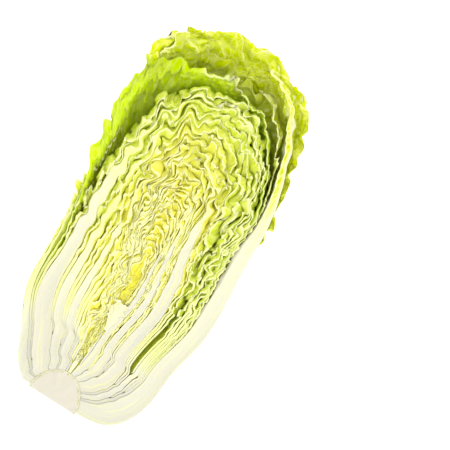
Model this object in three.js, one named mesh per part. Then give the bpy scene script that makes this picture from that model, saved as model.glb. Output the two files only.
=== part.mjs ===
// Half of a napa cabbage, cut lengthwise through its stem. It lies on its round back with the cut face up.
//
// Every leaf is a closed sheet that follows one family of nested curves round the head's axis. A place in
// the head is given by three numbers:
//   along  0 at the leaf's root on the stem, 1 at its tip
//   turn   the angle round the axis, 0 at the cut face's right edge, 90 at the back, 180 at its left edge
//   layer  0 on the axis, 1 on the outside of the outermost leaf
// The leaves share out the layers at each place: thick midribs first, and wavy gaps with what is left, so
// that no two leaves cross. +Y runs from the trimmed stem to the tips and +Z up from the resting surface.
import * as THREE from "three";
import { mergeVertices } from "three/addons/utils/BufferGeometryUtils.js";

// Driving dimensions, in millimetres and degrees.
const HEAD_RADIUS = 79; // axis to the outermost leaf at its widest
const CUT_HEIGHT = 74; // resting surface to the cut face
const STEM_RADIUS = 22; // trimmed end of the stem
const STEM_HEIGHT = 26; // trimmed end to the growing point inside the head
const REST_FROM_STEM = 160; // trimmed end of the stem to the origin
const BLADE_THICKNESS = 0.9; // leaf blade away from its midrib
const CLEARANCE = 0.5; // least gap between two leaves at the stem, and between a leaf and the stem
const LOOSE_CLEARANCE = 1; // least gap between two leaves where their blades are wavy
const HEART_LAYER = 0.05; // the tight bud that the innermost leaf closes on
const WAVE_DEPTH = 0.018; // shared waves of the blades, in layers
const SHARED_WAVELENGTH = 38; // of those waves
const RIPPLE = 0.6; // how unevenly the gaps open where the blades are wavy
const RIPPLE_WAVELENGTH = { stalk: 46, blade: 28 }; // of that unevenness, near the stem and above
const MOST_SOLID = 0.8; // greatest share of the room that leaves may fill
const BASE_SWELL = 34; // how far the outermost leaf swells out beside the stem
const SWELL_POWER = 1.4; // above 1, inner leaves swell out less than in proportion
const SWELL_RISE = { axis: 6, outside: -5 }; // how far the swelling climbs from a leaf's root at first
const BELLY_PULL = { axis: 0.62, outside: 0.75 }; // how long a leaf runs straight below its widest place
const TIP_PULL = 0.6; // how long it runs straight above that place, as shares of what is left
const CLOSING = 0.62; // how squarely a closed layer turns in at its tip, as a share of its radius
const OPENING = { inward: 14, lift: 24 }; // the last bend of a layer that ends open
const BASE_SKEW = 0.16; // how much fuller the head is over its stem on the right side, and slimmer on the left
const FRINGE_FLARE = 4; // how far the outer leaves' free margins stand off on the left side

// Where each layer is widest and where it ends, as distances from the trimmed stem end. A closed layer
// ends in a small opening round the axis.
const LAYER_CURVES = [
  { layer: 0, bellyAt: 78, tipAt: 118, tipRadius: 2 },
  { layer: 0.2, bellyAt: 100, tipAt: 185, tipRadius: 2 },
  { layer: 0.4, bellyAt: 122, tipAt: 231, tipRadius: 2 },
  { layer: 0.6, bellyAt: 145, tipAt: 252, tipRadius: 2 },
  { layer: 0.78, bellyAt: 165, tipAt: 270, tipRadius: 2 },
  { layer: 0.87, bellyAt: 178, tipAt: 284, tipRadius: 2 },
  { layer: 0.92, bellyAt: 190, tipAt: 293, tipRadius: 2 },
  { layer: 0.96, bellyAt: 198, tipAt: 318, tipRadius: 3 },
  { layer: 1, bellyAt: 205, tipAt: 338, tipRadius: 50 },
];
const OPEN_TIP_RADIUS = 50; // a layer that ends at this radius leaves the head's top wide open

// The head leans a little to the right over its stem and to the left towards the tips.
const AXIS_BEND = [
  { at: 60, x: 0 },
  { at: 105, x: 4.5 },
  { at: 190, x: -3 },
  { at: 270, x: -10 },
];

// The cupped leaf stands off the head on the upper left: how much its gap widens there, as a multiple, and
// the share of their gaps that the leaves outside it lose.
const CUP = { leaf: "bowl_leaf", gap: 5, press: 0.65 };

// Leaves from the outermost inwards. layer is the leaf's place where nothing is thick, midrib the turn of
// its midrib, rib the midrib's thickness at the root end and spread the blade's half-width in degrees.
// reach is how far along the layer the midrib runs, and droop how much sooner the blade ends beside it.
const WRAPPERS = [
  { name: "wrapper_leaf_back", layer: 1, midrib: 98, rib: 9, spread: 88, reach: 1, droop: 0.22 },
  { name: "wrapper_leaf_left", layer: 0.982, midrib: 146, rib: 10, spread: 78, reach: 0.9, droop: 0.12 },
  { name: "wrapper_leaf_right", layer: 0.958, midrib: 5, rib: 13, spread: 105, reach: 0.97, droop: 0.05 },
  { name: "wrapper_leaf_side", layer: 0.932, midrib: 52, rib: 9, spread: 60, reach: 0.93, droop: 0.1 },
  { name: "bowl_leaf", layer: 0.888, midrib: 122, rib: 7, spread: 180, reach: 1, droop: 0 },
];
const HEAD_LAYERS = { outer: 0.83, inner: 0.085 };
const HEAD_MIDRIBS = [
  { turn: 95, rib: 6 },
  { turn: 176, rib: 8 },
  { turn: 34, rib: 7 },
  { turn: 172, rib: 4 },
  { turn: 58, rib: 6 },
  { turn: 120, rib: 5 },
  { turn: 170, rib: 3.5 },
  { turn: 4, rib: 8 },
  { turn: 120, rib: 4 },
  { turn: 95, rib: 3 },
  { turn: 8, rib: 4.5 },
  { turn: 90, rib: 2.5 },
  { turn: 10, rib: 4 },
  { turn: 90, rib: 2 },
];

// A leaf's midrib and blade, from its root to its tip.
const CLASP = 48; // half-width of every leaf where it clasps the stem, in degrees
const RIB_WIDTH = { root: 36, tip: 9 }; // how far a midrib reaches to each side, in degrees
const RIB_TIP_SHARE = 0.04; // share of the midrib's thickness that is left at the tip
const BACK_CALM = 0.8; // share of the waves that the deep back loses
const LOBE_DEPTH = 0.012; // lobes in the free margins, as a share of the leaf's length

const STEM_COVER = 85; // how far down the stem's dome the outermost leaf is rooted, in degrees from its top
const ROWS = 36; // steps from root to tip along the cut edges
const ROW_EASE = 0.65; // below 1, rows lie closer together above the root
const BELLY_ALONG = { axis: 0.36, outside: 0.58 }; // share of a leaf's rows from its root to its widest place

const radians = THREE.MathUtils.degToRad;
const lerp = THREE.MathUtils.lerp;
const smooth = (low, high, x) => THREE.MathUtils.smoothstep(x, low, high);

// The value of a named field between the rows of a table that is sorted by its key.
function between(table, key, field, x) {
  const next = table.findIndex((row) => row[key] > x);
  if (next === 0) return table[0][field];
  if (next < 0) return table[table.length - 1][field];
  const low = table[next - 1];
  const high = table[next];
  return lerp(low[field], high[field], (x - low[key]) / (high[key] - low[key]));
}

function lean(along, distance) {
  const next = AXIS_BEND.findIndex((row) => row.at > distance);
  const high = next < 0 ? AXIS_BEND[AXIS_BEND.length - 1] : AXIS_BEND[next];
  const low = next > 0 ? AXIS_BEND[next - 1] : high;
  const x = low === high ? high.x : lerp(low.x, high.x, smooth(low.at, high.at, distance));
  return x * smooth(0, 0.1, along);
}

// Radius and distance from the trimmed stem end, for a place along a layer's curve.
function profile(along, layer) {
  const bellyAt = between(LAYER_CURVES, "layer", "bellyAt", layer);
  const tipAt = between(LAYER_CURVES, "layer", "tipAt", layer);
  const tipRadius = between(LAYER_CURVES, "layer", "tipRadius", layer);
  const open = tipRadius / OPEN_TIP_RADIUS;
  const belly = HEAD_RADIUS * layer;
  const bellyAlong = lerp(BELLY_ALONG.axis, BELLY_ALONG.outside, layer);
  const rootTurn = radians(STEM_COVER * layer);
  const rootRadius = (STEM_RADIUS + CLEARANCE) * Math.sin(rootTurn);
  const rootAt = (STEM_HEIGHT + CLEARANCE) * Math.cos(rootTurn);
  if (along < bellyAlong) {
    const share = Math.pow(along / bellyAlong, ROW_EASE);
    const swellRadius = rootRadius + BASE_SWELL * Math.pow(layer, SWELL_POWER);
    const swellAt = rootAt + lerp(SWELL_RISE.axis, SWELL_RISE.outside, layer);
    const lowAt = bellyAt - lerp(BELLY_PULL.axis, BELLY_PULL.outside, layer) * (bellyAt - rootAt);
    return {
      radius: bezier(rootRadius, swellRadius, belly, belly, share),
      distance: bezier(rootAt, swellAt, lowAt, bellyAt, share),
    };
  }
  const share = (along - bellyAlong) / (1 - bellyAlong);
  const highAt = bellyAt + TIP_PULL * (tipAt - bellyAt);
  const inward = lerp(CLOSING * belly, OPENING.inward, open);
  return {
    radius: bezier(belly, belly, tipRadius + inward, tipRadius, share),
    distance: bezier(bellyAt, highAt, tipAt - OPENING.lift * open, tipAt, share),
  };
}

function bezier(a, b, c, d, t) {
  const s = 1 - t;
  return s * s * s * a + 3 * s * s * t * b + 3 * s * t * t * c + t * t * t * d;
}

// The point in space of a place in the head. The back is pressed flat where it would pass the surface.
function place(along, turn, layer) {
  const side = Math.cos(radians(turn));
  const back = Math.sin(radians(turn));
  const skew = 1 + BASE_SKEW * side * smooth(0, 0.04, along) * (1 - smooth(0.07, 0.34, along));
  const { radius: round, distance } = profile(along, layer);
  const radius = round * skew;
  const depth = profile(along, 1).radius * skew * back;
  const pressed = depth > CUT_HEIGHT ? CUT_HEIGHT / depth : 1;
  const flare =
    FRINGE_FLARE * smooth(0.9, 1, layer) * smooth(0.35, 0.62, along) * smooth(140, 180, turn);
  return new THREE.Vector3(
    (radius + flare) * side + lean(along, distance),
    distance - REST_FROM_STEM,
    CUT_HEIGHT - pressed * radius * back,
  );
}

// Millimetres of space for each unit of layer, square to the leaf.
function layerScale(along, layer) {
  const step = 0.02;
  const [low, high] = [Math.max(0, layer - step), Math.min(1, layer + step)];
  const inner = profile(along, low);
  const outer = profile(along, high);
  const below = profile(Math.max(0, along - step), layer);
  const above = profile(Math.min(1, along + step), layer);
  const rise = above.distance - below.distance;
  const swell = above.radius - below.radius;
  const square = (outer.radius - inner.radius) * rise - (outer.distance - inner.distance) * swell;
  return Math.abs(square) / Math.hypot(rise, swell) / (high - low);
}

// A smooth wave from -1 to 1 that differs for each seed, with the given wavelength.
function wave(point, wavelength, seed) {
  let sum = 0;
  for (let n = 0; n < 3; n++) {
    const bearing = seed * 2.4 + n * 2.1;
    const pitch = (2 * Math.PI * (1 + 0.23 * n)) / wavelength;
    const run =
      point.y * Math.cos(0.5 * Math.sin(bearing)) +
      point.x * Math.sin(bearing) * 0.7 +
      point.z * Math.cos(bearing) * 0.7;
    sum += Math.sin(run * pitch + seed * 1.7 + n * 2.3);
  }
  return sum / 3;
}

const headLeaves = HEAD_MIDRIBS.map(({ turn, rib }, n) => ({
  name: "head_leaf_" + String(n + 1).padStart(2, "0"),
  layer: lerp(HEAD_LAYERS.outer, HEAD_LAYERS.inner, n / (HEAD_MIDRIBS.length - 1)),
  midrib: turn,
  rib,
  spread: 200,
  reach: 1,
  droop: 0,
}));
const leaves = [...WRAPPERS, ...headLeaves];

// Half-width of a leaf, in degrees: narrow where it clasps the stem, and its full spread above.
function halfWidth(leaf, along) {
  return lerp(CLASP, leaf.spread, smooth(0, 0.3, along));
}

function thickness(leaf, along, turn) {
  const ribWidth = lerp(RIB_WIDTH.root, RIB_WIDTH.tip, smooth(0, 0.6, along));
  const taper = lerp(1, RIB_TIP_SHARE, smooth(0.42, 1, along));
  const across = (turn - leaf.midrib) / ribWidth;
  return BLADE_THICKNESS + leaf.rib * taper * Math.exp(-across * across);
}

// How much of the waves is left at a turn: all at the cut edges, and little deep in the back.
function waviness(turn) {
  return 1 - BACK_CALM * smooth(10, 50, Math.min(turn, 180 - turn));
}

// 1 where the cupped leaf stands off the head, and 0 elsewhere.
function cupped(along, turn) {
  return smooth(0.4, 0.58, along) * (1 - 0.75 * smooth(0.66, 0.92, along)) * smooth(148, 178, turn);
}

// How much wider than elsewhere a leaf's inner gap is at one place, as a factor.
function widening(leaf, along, turn) {
  if (!WRAPPERS.includes(leaf)) return 1;
  return 1 + (leaf.name === CUP.leaf ? CUP.gap : -CUP.press) * cupped(along, turn);
}

// Layers of each leaf's outer and inner face at one place, from the outermost leaf inwards.
function stackAt(along, turn) {
  const shares = leaves.map((leaf, n) => {
    const reach = halfWidth(leaf, along);
    const present = 1 - smooth(reach + 8, reach + 26, Math.abs(turn - leaf.midrib));
    const scale = layerScale(along, leaf.layer);
    const nextLayer = n + 1 < leaves.length ? leaves[n + 1].layer : HEART_LAYER;
    const held = lerp(present, 1, smooth(0.25, 0.45, along));
    const loose = smooth(0.2, 0.5, along);
    const wavelength = lerp(RIPPLE_WAVELENGTH.stalk, RIPPLE_WAVELENGTH.blade, loose);
    const ripple = waviness(turn) * wave(place(along, turn, leaf.layer), wavelength, n + 1);
    return {
      solid: (present * thickness(leaf, along, turn)) / scale,
      least: (held * lerp(CLEARANCE, LOOSE_CLEARANCE, loose)) / scale,
      gap: held * (leaf.layer - nextLayer) * Math.exp(RIPPLE * loose * ripple) * widening(leaf, along, turn),
    };
  });
  const total = (field) => shares.reduce((sum, share) => sum + share[field], 0);
  const room = 1 - HEART_LAYER - total("least");
  const squeeze = Math.min(1, (MOST_SOLID * room) / total("solid"));
  const gapScale = (room - squeeze * total("solid")) / total("gap");
  let layer = 1;
  return shares.map((share) => {
    const outer = layer;
    const inner = outer - squeeze * share.solid;
    layer = inner - share.least - share.gap * gapScale;
    return { outer, inner };
  });
}

// The same, evened out between the columns that every leaf shares, so that neighbours keep their gap.
function stack(along, turn) {
  const next = HEAD_TURNS.findIndex((column) => column >= turn);
  if (HEAD_TURNS[next] === turn) return stackAt(along, turn);
  const before = stackAt(along, HEAD_TURNS[next - 1]);
  const after = stackAt(along, HEAD_TURNS[next]);
  const share = (turn - HEAD_TURNS[next - 1]) / (HEAD_TURNS[next] - HEAD_TURNS[next - 1]);
  return before.map((leaf, n) => ({
    outer: lerp(leaf.outer, after[n].outer, share),
    inner: lerp(leaf.inner, after[n].inner, share),
  }));
}

// Waves that neighbouring leaves share. They fade at the axis, the root, the deep back and the outside.
function shared(along, turn, layer) {
  const room = smooth(0.08, 0.3, layer) * (1 - smooth(0.8, 0.97, layer));
  const fade = room * smooth(0.3, 0.52, along) * waviness(turn);
  return layer + WAVE_DEPTH * fade * wave(place(along, turn, layer), SHARED_WAVELENGTH, 3 * layer);
}

// Places on the sheet where triangles meet: rows at every step-th row in each column.
function gridColumns(turns, innerStep) {
  return turns.map((turn, n) => {
    const fromEdge = Math.min(n, turns.length - 1 - n);
    const step = fromEdge === 0 ? 1 : fromEdge === 1 ? 2 : innerStep;
    const rows = [];
    for (let row = 0; row <= ROWS; row += step) rows.push(row);
    return { turn, rows };
  });
}

const HEAD_TURNS = [0, 4, 12, 36, 63, 90, 117, 144, 168, 176, 180];
const HEAD_COLUMNS = gridColumns(HEAD_TURNS, 4);
const WRAPPER_TURNS = [0, 4, 12, 24, 36, 50, 63, 76, 90, 104, 117, 130, 144, 156, 168, 176, 180];
const WRAPPER_COLUMNS = gridColumns(WRAPPER_TURNS, 2);

// Triangles between two columns of rows, advancing whichever side lags.
function strip(columns, left, rows) {
  const a = rows[left];
  const b = rows[left + 1];
  const made = [];
  let i = 0;
  let j = 0;
  while (i < a.length - 1 || j < b.length - 1) {
    const advanceA = j === b.length - 1 || (i < a.length - 1 && a[i + 1] <= b[j + 1]);
    if (advanceA) {
      made.push([[left, a[i]], [left + 1, b[j]], [left, a[i + 1]]]);
      i++;
    } else {
      made.push([[left, a[i]], [left + 1, b[j]], [left + 1, b[j + 1]]]);
      j++;
    }
  }
  return made;
}

// A closed sheet: the same triangles on both faces, and a rim along their open edges.
function sheet(columns, inside, faces) {
  const rows = columns.map((column) => column.rows);
  const triangles = [];
  for (let left = 0; left < columns.length - 1; left++)
    triangles.push(...strip(columns, left, rows).filter((corners) => corners.every(inside)));
  const open = new Map();
  const key = ([column, row]) => column + ":" + row;
  for (const [a, b, c] of triangles)
    for (const [from, to] of [[a, b], [b, c], [c, a]]) {
      if (open.has(key(to) + "/" + key(from))) open.delete(key(to) + "/" + key(from));
      else open.set(key(from) + "/" + key(to), [from, to]);
    }
  const known = new Map();
  const corner = (node) => {
    if (!known.has(key(node))) known.set(key(node), faces(node));
    return known.get(key(node));
  };
  const points = [];
  for (const [a, b, c] of triangles) {
    points.push(corner(a).outer, corner(b).outer, corner(c).outer);
    points.push(corner(a).inner, corner(c).inner, corner(b).inner);
  }
  for (const [from, to] of open.values()) {
    points.push(corner(to).outer, corner(from).outer, corner(from).inner);
    points.push(corner(to).outer, corner(from).inner, corner(to).inner);
  }
  return closed(points);
}

// Merges a triangle soup into one surface that faces out, without the triangles that have collapsed.
function closed(points) {
  const soup = new THREE.BufferGeometry().setFromPoints(points);
  const merged = mergeVertices(soup, 1e-3);
  const index = merged.index.array;
  const kept = [];
  let volume = 0;
  const corners = [new THREE.Vector3(), new THREE.Vector3(), new THREE.Vector3()];
  for (let n = 0; n < index.length; n += 3) {
    const [a, b, c] = [index[n], index[n + 1], index[n + 2]];
    if (a === b || b === c || c === a) continue;
    kept.push(a, b, c);
    [a, b, c].forEach((vertex, k) => corners[k].fromBufferAttribute(merged.attributes.position, vertex));
    volume += corners[0].dot(corners[1].clone().cross(corners[2]));
  }
  if (volume < 0) kept.reverse();
  merged.setIndex(kept);
  merged.computeVertexNormals();
  return merged;
}

function leafGeometry(leaf, order) {
  const wrapper = order < WRAPPERS.length;
  const columns = wrapper ? WRAPPER_COLUMNS : HEAD_COLUMNS;
  const inside = ([column, row]) =>
    Math.abs(columns[column].turn - leaf.midrib) <= halfWidth(leaf, row / ROWS) + 1;
  return sheet(columns, inside, ([column, row]) => {
    const turn = columns[column].turn;
    const whole = row / ROWS;
    const offset = (turn - leaf.midrib) / 90;
    const lobes = leaf.droop > 0 ? LOBE_DEPTH * (1 + Math.sin(turn / 7 + order * 2)) : 0;
    const shorter = 1 - leaf.reach + leaf.droop * offset * offset + lobes;
    const along = whole - shorter * smooth(0.4, 1, whole);
    const { outer, inner } = stack(along, turn)[order];
    return {
      outer: place(along, turn, shared(along, turn, outer)),
      inner: place(along, turn, shared(along, turn, inner)),
    };
  });
}

// A solid with a flat cut face, under a surface that is given as a radius and a distance for each row.
function halfSolid(rows, turns) {
  const at = (row, turn) => {
    const side = Math.cos(radians(turn));
    const back = Math.sin(radians(turn));
    return new THREE.Vector3(
      row.radius * side + row.lean,
      row.distance - REST_FROM_STEM,
      CUT_HEIGHT - row.radius * back,
    );
  };
  const points = [];
  const quad = (a, b, c, d) => points.push(a, b, c, a, c, d);
  const last = turns.length - 1;
  for (let n = 0; n < rows.length - 1; n++) {
    for (let k = 0; k < last; k++)
      quad(
        at(rows[n], turns[k]),
        at(rows[n], turns[k + 1]),
        at(rows[n + 1], turns[k + 1]),
        at(rows[n + 1], turns[k]),
      );
    quad(at(rows[n + 1], 0), at(rows[n + 1], 180), at(rows[n], 180), at(rows[n], 0));
  }
  for (let k = 1; k < last; k++)
    points.push(at(rows[0], 0), at(rows[0], turns[k + 1]), at(rows[0], turns[k]));
  return closed(points);
}

const STEM_TURNS = Array.from({ length: 13 }, (_, n) => n * 15);

function stemGeometry() {
  const steps = 10;
  const rows = [];
  for (let n = 0; n <= steps; n++) {
    const turn = radians((90 * (steps - n)) / steps);
    rows.push({ radius: STEM_RADIUS * Math.sin(turn), distance: STEM_HEIGHT * Math.cos(turn), lean: 0 });
  }
  return halfSolid(rows, STEM_TURNS);
}

function heartGeometry() {
  const steps = 14;
  const rows = [];
  for (let n = 0; n <= steps; n++) {
    const { radius, distance } = profile(n / steps, HEART_LAYER - 0.012);
    const end = n === steps;
    rows.push({ radius: end ? 0 : radius, distance: distance + CLEARANCE, lean: lean(n / steps, distance) });
  }
  return halfSolid(rows, STEM_TURNS);
}

const materials = {
  stem: new THREE.MeshStandardMaterial({ color: 0xf2eedf, roughness: 0.5, metalness: 0 }),
  outer: new THREE.MeshStandardMaterial({ color: 0xbfd23c, roughness: 0.45, metalness: 0 }),
  bowl: new THREE.MeshStandardMaterial({ color: 0xc9d84a, roughness: 0.45, metalness: 0 }),
  head: new THREE.MeshStandardMaterial({ color: 0xe2e39a, roughness: 0.5, metalness: 0 }),
  heart: new THREE.MeshStandardMaterial({ color: 0xebe17a, roughness: 0.5, metalness: 0 }),
};

const cabbage = new THREE.Group();

function add(name, geometry, material) {
  const mesh = new THREE.Mesh(geometry, material);
  mesh.name = name;
  cabbage.add(mesh);
}

add("stem_core", stemGeometry(), materials.stem);
add("heart_bud", heartGeometry(), materials.heart);
leaves.forEach((leaf, order) => {
  const wrapped = leaf.name === "bowl_leaf" ? materials.bowl : materials.outer;
  const inHeart = leaf.layer < 0.3 ? materials.heart : materials.head;
  add(leaf.name, leafGeometry(leaf, order), order < WRAPPERS.length ? wrapped : inHeart);
});

export default cabbage;
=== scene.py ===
"""Halved napa cabbage: crinkled leaves, cut stem and studio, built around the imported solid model.

Inside the shape code lengths are millimetres and angles are degrees. A place in the head is given by
    along  0 at a leaf's root on the stem, 1 at its tip
    turn   the angle round the axis, 0 at the cut face's right edge, 90 at the back, 180 at its left edge
    layer  0 on the axis, 1 on the outside of the outermost leaf
Each leaf starts as a flat grid that is given two sides. Its vertices are then laid on the leaf's curves.
"""

import functools
import math
from collections import namedtuple

import bmesh
import bpy
import numpy as np
from mathutils import Matrix, Vector


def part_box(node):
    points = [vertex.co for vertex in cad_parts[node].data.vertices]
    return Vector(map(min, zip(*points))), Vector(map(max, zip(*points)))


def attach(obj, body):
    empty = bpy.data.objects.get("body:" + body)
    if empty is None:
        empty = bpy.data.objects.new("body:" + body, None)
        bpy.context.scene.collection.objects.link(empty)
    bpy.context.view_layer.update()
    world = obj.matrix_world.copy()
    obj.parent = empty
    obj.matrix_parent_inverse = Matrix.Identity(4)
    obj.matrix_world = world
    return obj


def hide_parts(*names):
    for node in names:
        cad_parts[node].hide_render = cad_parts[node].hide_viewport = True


bl_info = {
    "name": "Halved Napa Cabbage",
    "version": (1, 0, 0),
    "blender": (4, 5, 0),
    "location": "View3D > Sidebar > Cabbage",
    "description": "Crinkled leaves, cut stem and studio for a halved napa cabbage",
    "category": "Add Mesh",
}

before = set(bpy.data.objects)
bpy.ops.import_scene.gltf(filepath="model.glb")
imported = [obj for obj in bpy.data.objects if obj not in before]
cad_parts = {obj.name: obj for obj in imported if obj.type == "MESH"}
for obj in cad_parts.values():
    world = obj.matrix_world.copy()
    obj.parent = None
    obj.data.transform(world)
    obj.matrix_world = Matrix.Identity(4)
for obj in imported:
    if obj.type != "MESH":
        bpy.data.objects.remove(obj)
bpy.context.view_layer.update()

MM = 0.001
STEM_LOW, STEM_HIGH = (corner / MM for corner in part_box("stem_core"))
CUT_HEIGHT = STEM_HIGH.z
STEM_RADIUS = (STEM_HIGH.x - STEM_LOW.x) / 2
STEM_HEIGHT = STEM_HIGH.y - STEM_LOW.y
REST_FROM_STEM = -STEM_LOW.y

# Curves of the leaves, in millimetres, degrees and shares of a leaf's length.
HEAD_RADIUS = 79  # axis to the outermost leaf at its widest
BLADE_THICKNESS = 0.9  # away from the midrib
HALF_LOOSE_BLADE = 0.55  # half of a head leaf's blade above its stalk
STEM_CLEARANCE = 0.12  # between a leaf's root and the stem
CLEARANCE = 0.3  # least gap between two packed stalks
LOOSE_CLEARANCE = 1  # least gap between two loose blades
HEART_LAYER = 0.05  # the bud that the innermost leaf closes on
BUD_CLEARANCE = 0.012  # between the two, in layers
LEAST_SCALE = 12  # millimetres to a unit of layer where the layers crowd together
YOUNG_LAYER = 0.3  # head leaves inside it are heart leaves
WAVE_DEPTH = 0.014  # slow waves that all leaves share, in layers
SHARED_WAVELENGTH = 38  # of those waves
RIPPLE = 0.3  # how unevenly the gaps between blades open
RIPPLE_WAVELENGTH = (46, 28)  # of that unevenness, near the stem and above
MOST_SOLID = 0.8  # greatest share of the room that blades may fill
PACKED = (0.98, 0.84)  # share that stalks fill, and where the head stands open
MOST_SWOLLEN = 1.9  # how far a stalk may thicken to fill that share
BASE_SWELL = 34  # how far the outermost leaf swells out beside the stem
SWELL_POWER = 1.4  # above 1, inner leaves swell out less than in proportion
SWELL_RISE = (6, -5)  # how far the swelling climbs at first, on the axis and outside
BELLY_PULL = (0.62, 0.75)  # how long a leaf runs straight below its widest place
TIP_PULL = 0.6  # how long it runs straight above that place
CLOSING = 0.62  # how squarely a closed layer turns in at its tip
OPENING = (14, 24)  # the last bend of a layer that ends open, inwards and back
BASE_SKEW = 0.16  # how much fuller the head's foot is on the right
FRINGE_FLARE = 4  # how far the outer leaves' margins stand off on the left
CLASP = 48  # half-width of every leaf where it clasps the stem
CLASP_MORE = 16  # what all but the two outermost leaves add to it
PRESENT_PAST = (8, 26)  # how far past its edge a leaf still takes up room
RIB_WIDTH = (36, 9)  # reach of a midrib to each side, at the root and above
RIB_TIP_SHARE = 0.04  # share of the midrib's thickness that is left at the tip
BACK_CALM = 0.8  # share of the waves that the deep back loses
STOUT_RIB = 8  # a midrib this thick has a rounder cut edge
SHOWN_RIB = 3.5  # a midrib this thick, within so many degrees of the cut, shows as a white band
SHOWN_TURN = 16
SHOWN_THICKNESS = 2.2  # of that band at its upper end
LOBE_DEPTH = 0.012  # of the free margins
TOOTH_DEPTH = 0.008
MOST_LOWERED = 0.45  # share of its radius that an edge may end below the cut face
OUTER_LOWERED = (3, 8)  # how far the outermost leaves' left margins do, by their middle and above
RESTING = 0.02  # height of the lowest point
STEM_COVER = 85  # how far down the stem's dome the outermost leaf is rooted
ROW_EASE = 0.65  # below 1, rows lie closer together above the root
BELLY_ALONG = (0.36, 0.58)  # a leaf's widest place, on the axis and outside

# Where each layer is widest and where it ends, as distances from the trimmed stem end, its radius at that
# end, and how far the head's axis stands to the right at some distances.
LAYER = [0, 0.2, 0.4, 0.6, 0.78, 0.87, 0.92, 0.96, 1]
BELLY_AT = [78, 100, 122, 145, 165, 178, 190, 198, 205]
TIP_AT = [118, 185, 231, 252, 270, 284, 293, 318, 338]
TIP_RADIUS = [0.3, 0.3, 0.3, 0.3, 0.3, 0.3, 0.3, 2, 50]
OPEN_TIP_RADIUS = 50
AXIS_BEND = [(60, 0), (105, 4.5), (190, -3), (270, -10)]

# The cupped leaf stands off the head on the upper left.
CUP_GAP = 5  # how much its gap widens there, as a multiple
CUP_PRESS = 0.65  # share of their gaps that the leaves outside it lose
CUP_FADE = (0.66, 0.92)  # where it closes again
CUP_RELIEF = 0.2  # share of the other leaves' torn relief that its cut edge has

# The cupped leaf's left margin bends over and hangs down outside it.
LIP_BEND = 8  # radius of the bend
LIP_LENGTH = (22, 30)
LIP_GROWN = 12  # length from which the bend is whole
LIP_TURN = 104  # how far round the margin bends, in degrees

# How much wider the gap beside the head's stoutest right midrib is, as a multiple.
OPEN_GAP = 9

# Grooves between cut edges: how deep their floors lie.
STALK_GROOVE = 0.35
BLADE_GROOVE = (1.7, 6.8)
GROOVE_CLOSING = 0.495  # share of the gap that each of two neighbours fills at the floor

# Eddies that carry the head leaves' edges along: their length and depth, and how far from a white band
# they begin and are whole.
SWIRLS = [(30, 3.6), (14, 1.9)]
SWIRL_FROM = (4, 15)

# The foot and the length of the frilled young leaf at the bud's top.
YOUNG_LEAF = Vector((6, 70 - REST_FROM_STEM, CUT_HEIGHT + 0.5))
YOUNG_LENGTH = 26

MAP_SCALE = 0.01  # units of a leaf's map for each millimetre
SIDE_VEINS = 24  # from one side vein to the next
WINDOWS = 9  # from one green window to the next along the right leaf's cut edge

FAR = 99  # a distance past every margin
NEVER_ZERO = 1e-6  # least divisor
ALL_PHASES = (0, 6.28)  # once round, in radians
ALL_ROUND = 200  # a spread that reaches both cut edges
FOLD_SEED = 39  # the folds' numbers follow it

# layer is a leaf's place where nothing is thick, midrib the turn of its midrib, rib the midrib's thickness
# at the root and spread the blade's half-width in degrees. reach is how far along the layer the midrib
# runs, and droop how much sooner the blade ends beside it. number seeds the leaf's waves. A fold has no
# midrib or solid, and begins at start, after so many head leaves from outside.
Leaf = namedtuple("Leaf", "name layer midrib rib spread reach droop number start after", defaults=(0, 0))
WRAPPERS = [
    Leaf("wrapper_leaf_back", 1, 98, 9, 88, 1, 0.22, 1),
    Leaf("wrapper_leaf_left", 0.982, 146, 10, 78, 0.9, 0.12, 2),
    Leaf("wrapper_leaf_right", 0.958, 5, 13, 105, 0.97, 0.05, 3),
    Leaf("wrapper_leaf_side", 0.932, 52, 9, 60, 0.93, 0.1, 4),
    Leaf("bowl_leaf", 0.888, 122, 7, 180, 1, 0, 5),
]
BACK_LEAF, LEFT_LEAF, RIGHT_LEAF, SIDE_LEAF, CUP_LEAF = WRAPPERS
OUTERMOST = (BACK_LEAF, LEFT_LEAF)
FREE_TIPS = (BACK_LEAF, LEFT_LEAF, RIGHT_LEAF)

# Layers of the outermost and the innermost head leaf, and each head leaf's midrib: its turn and thickness.
HEAD_LAYERS = (0.83, 0.085)
HEAD_MIDRIBS = [
    (95, 6), (176, 8), (34, 7), (172, 4), (58, 6), (120, 5), (170, 3.5),
    (4, 8), (120, 4), (95, 3), (8, 4.5), (90, 2.5), (10, 4), (90, 2),
]
HEAD_STEP = (HEAD_LAYERS[0] - HEAD_LAYERS[1]) / (len(HEAD_MIDRIBS) - 1)


def head_layer(order):
    """The layer of a head leaf, or of a fold between two, counted from the outermost."""
    return HEAD_LAYERS[0] - HEAD_STEP * order


HEAD_LEAVES = [
    Leaf(f"head_leaf_{n:02d}", head_layer(n - 1), turn, rib, ALL_ROUND, 1, 0, len(WRAPPERS) + n)
    for n, (turn, rib) in enumerate(HEAD_MIDRIBS, 1)
]
SOLID_LEAVES = WRAPPERS + HEAD_LEAVES

# The head stands open between these leaves, beside its stoutest right midrib.
OPEN_PAIR = HEAD_LEAVES[3:5]

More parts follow.
